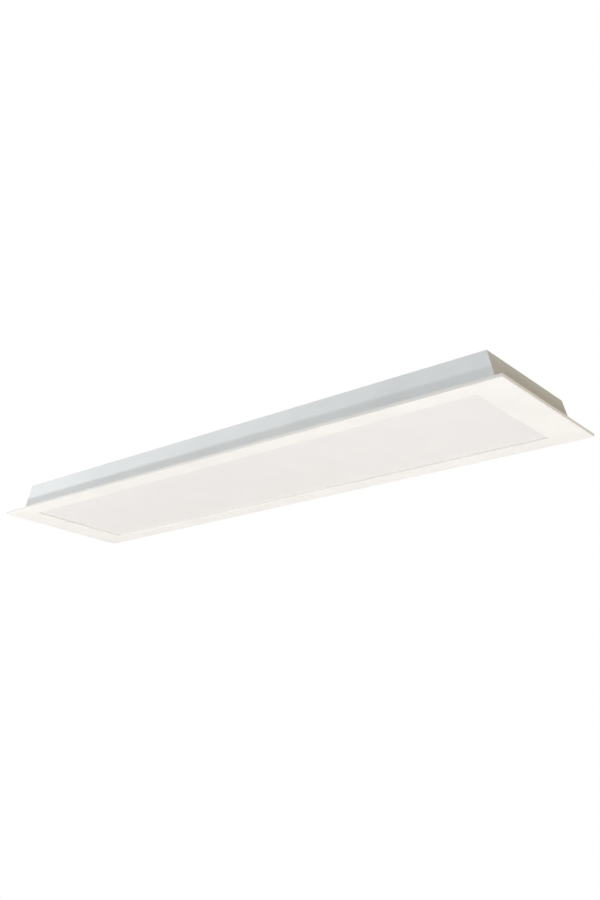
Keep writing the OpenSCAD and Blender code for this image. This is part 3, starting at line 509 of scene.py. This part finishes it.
def smooth_lead(node, from_start):
    """Stands in for a faceted lead with a round one, its bends cut smooth in two passes."""
    sides = 16
    line, radius = lead_line(node, from_start)
    for _ in range(2):
        cut = [p for a, b in zip(line, line[1:]) for p in (a.lerp(b, 0.25), a.lerp(b, 0.75))]
        line = [line[0]] + cut + [line[-1]]
    bm = bmesh.new()
    rings = []
    side = Vector((0, 0, 1))
    for i, center in enumerate(line):
        ahead = (line[min(i + 1, len(line) - 1)] - line[max(i - 1, 0)]).normalized()
        side = (side - side.dot(ahead) * ahead).normalized()
        across = ahead.cross(side)
        loop = ring(bm, radius, 0, sides)
        for vertex in loop:
            vertex.co = center + vertex.co.x * side + vertex.co.y * across
        rings.append(loop)
    for a, b in zip(rings, rings[1:]):
        skin(bm, a, b)
    bm.faces.new(rings[0][::-1])
    bm.faces.new(rings[-1])
    stand_in(node, bm, 0.9)


def detailed_screws(node):
    """Puts a detailed screw where each plain one of the node is, with the same sizes."""
    turn_between_screws = 1.1
    all_screws = bmesh.new()
    for number, points in enumerate(islands(node)):
        low, high = spread(points, 2)
        center = Vector([sum(spread(points, axis)) / 2 for axis in (0, 1)] + [0])
        reach = [(Vector((p.x, p.y, 0)) - center).length for p in points]
        head_r = max(reach)
        head_zs = [p.z for p, r in zip(points, reach) if r > 0.98 * head_r]
        head_h = max(head_zs) - min(head_zs)
        up = max(head_zs) > high - same_level
        seat = min(head_zs) if up else max(head_zs)
        tip = low if up else high
        shank_r = max(r for p, r in zip(points, reach) if abs(p.z - tip) < same_level)
        form = screw_form(shank_r, head_r, head_h, abs(seat - tip))
        flip = Matrix.Rotation(0 if up else math.pi, 4, "X")
        tightened = Matrix.Rotation(turn_between_screws * number, 4, "Z")
        center.z = seat
        form.transform(Matrix.Translation(center) @ flip @ tightened)
        all_screws.from_mesh(form)
        bpy.data.meshes.remove(form)
    stand_in(node, all_screws)


def lamp_faces(node):
    """A low phosphor dome on each lamp of a board, sunk a little into it."""
    sides = 16
    dome = ((0.0011, 0.00005), (0.0011, -0.00008), (0.0008, -0.00028), (0.0004, -0.00038))
    low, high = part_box(node)
    row, end = lamp_row(low, high)
    side = 1 if high[0] > 0 else -1
    domes = bmesh.new()
    for k in range(1, int(end / lamp_pitch) + 1):
        rings = [ring(domes, r, z, sides) for r, z in dome]
        for a, b in zip(rings, rings[1:]):
            skin(domes, b, a)
        domes.faces.new(rings[0])
        domes.faces.new(rings[-1][::-1])
        made = [v for loop in rings for v in loop]
        bmesh.ops.translate(domes, verts=made, vec=(side * k * lamp_pitch, row, low[2]))
    add_piece(node + "_lamps", domes, phosphor_face)


phosphor_face = phosphor("phosphor", (0.85, 0.62, 0.12))
for screw_node in ("housing_screws", "tray_screws", "reflector_screws", "board_screws",
                   "driver_screws", "terminal_screws", "earth_screw"):
    detailed_screws(screw_node)
for moulding, edge in (("board_connectors", 0.0006), ("board_links", 0.0006), ("terminal_block", 0.0005),
                       ("terminal_lever_live", 0.0004), ("terminal_lever_neutral", 0.0004),
                       ("terminal_lever_earth", 0.0004), ("lead_grommet", 0.0003), ("lead_clips", 0.0004)):
    softened(moulding, edge)
plated_ring(softened("earth_lead", 0.0001, 0.9))
for lead in ("live_lead", "neutral_lead"):
    smooth_lead(lead, True)
for lead in ("led_lead_positive", "led_lead_negative"):
    smooth_lead(lead, False)
for board in ("led_board_near_left", "led_board_near_right", "led_board_far_left", "led_board_far_right"):
    lamp_faces(board)


# Lights, floor and backdrop

def area(name, place, target, size, power, color=(1, 1, 1)):
    """A round soft light of a size in metres and a power in watts, turned towards its target."""
    data = bpy.data.lights.new(name, "AREA")
    data.shape = "DISK"
    data.size = size
    data.energy = power
    data.color = color
    light = bpy.data.objects.new(name, data)
    light.location = place
    light.rotation_euler = (Vector(target) - Vector(place)).to_track_quat("-Z", "Y").to_euler()
    light.visible_camera = False
    scene.collection.objects.link(light)


def make_world(cool, warm):
    """Soft light from all around, cool on the left and warm on the right, behind a white backdrop."""
    world = bpy.data.worlds.new("studio")
    world.use_nodes = True
    scene.world = world
    tree = world.node_tree
    tree.nodes.clear()

    def add(kind, **inputs):
        node = tree.nodes.new(kind)
        for key, value in inputs.items():
            node.inputs[key.replace("_", " ")].default_value = value
        return node

    place = add("ShaderNodeTexCoord")
    parts = add("ShaderNodeSeparateXYZ")
    share = add("ShaderNodeMapRange", From_Min=-0.1, From_Max=0.75)
    share.interpolation_type = "SMOOTHSTEP"
    height = add("ShaderNodeMapRange", From_Min=0.2, From_Max=0.8, To_Min=1.0, To_Max=0.9)
    blend = tree.nodes.new("ShaderNodeMix")
    blend.data_type = "RGBA"
    blend.inputs[6].default_value = (*cool, 1)
    blend.inputs[7].default_value = (*warm, 1)
    soft = add("ShaderNodeBackground", Strength=1.0)
    white = add("ShaderNodeBackground", Strength=1.0)
    white.inputs["Color"].default_value = (1, 1, 1, 1)
    ray = add("ShaderNodeLightPath")
    either = add("ShaderNodeMixShader")
    out = add("ShaderNodeOutputWorld")
    link = tree.links.new
    link(place.outputs["Generated"], parts.inputs[0])
    link(parts.outputs["X"], share.inputs["Value"])
    link(parts.outputs["Z"], height.inputs["Value"])
    link(height.outputs[0], soft.inputs["Strength"])
    link(share.outputs[0], blend.inputs["Factor"])
    link(blend.outputs[2], soft.inputs["Color"])
    link(ray.outputs["Is Camera Ray"], either.inputs[0])
    link(soft.outputs[0], either.inputs[1])
    link(white.outputs[0], either.inputs[2])
    link(either.outputs[0], out.inputs["Surface"])


def make_floor(z, half, glow):
    mesh = bpy.data.meshes.new("floor")
    corners = [(-half, -half, z), (half, -half, z), (half, half, z), (-half, half, z)]
    mesh.from_pydata(corners, [], [(0, 1, 2, 3)])
    floor = bpy.data.objects.new("floor", mesh)
    scene.collection.objects.link(floor)
    s = Shader("pale_floor")
    s.set(Base_Color=s.mix(s.noise(1.5, 2), (0.86, 0.86, 0.85), (0.9, 0.9, 0.89)), Roughness=0.6)
    s.set(Emission_Strength=glow)
    mesh.materials.append(s.material)


make_world(cool=(0.399, 0.413, 0.429), warm=(0.378, 0.291, 0.147))
make_floor(z=-2.9, half=14, glow=0.12)
area("key", (-1.15, -1.15, -1.14), (-0.2, 0, 0.02), 0.14, 14, (0.94, 0.96, 1))
area("cool_side", (1.0, -1.6, -0.65), (0.5, 0, 0.04), 0.12, 3.8, (0.72, 0.84, 1))
area("left_fill", (-1.3, -1.6, 0.1), (-0.4, 0, 0.02), 1.0, 7.3, (0.99, 1, 1))
area("under_fill", (2.0, 0.2, -2.0), (0.1, 0, 0), 0.5, 24, (0.98, 0.99, 1))
area("far_fill", (-0.6, 1.3, -1.8), (-0.3, 0, 0), 0.5, 8.8, (1, 0.98, 0.94))
area("end_fill", (3.2, -0.5, -0.5), (0.4, 0, 0.03), 0.5, 7, (0.97, 0.97, 1))
area("top_fill", (-0.6, -0.8, 2.4), (0, 0, 0.05), 2.0, 22)
area("back_fill", (-2.2, 2.4, 1.6), (-0.1, 0, 0.05), 1.5, 50)
scene.view_settings.view_transform = "Standard"
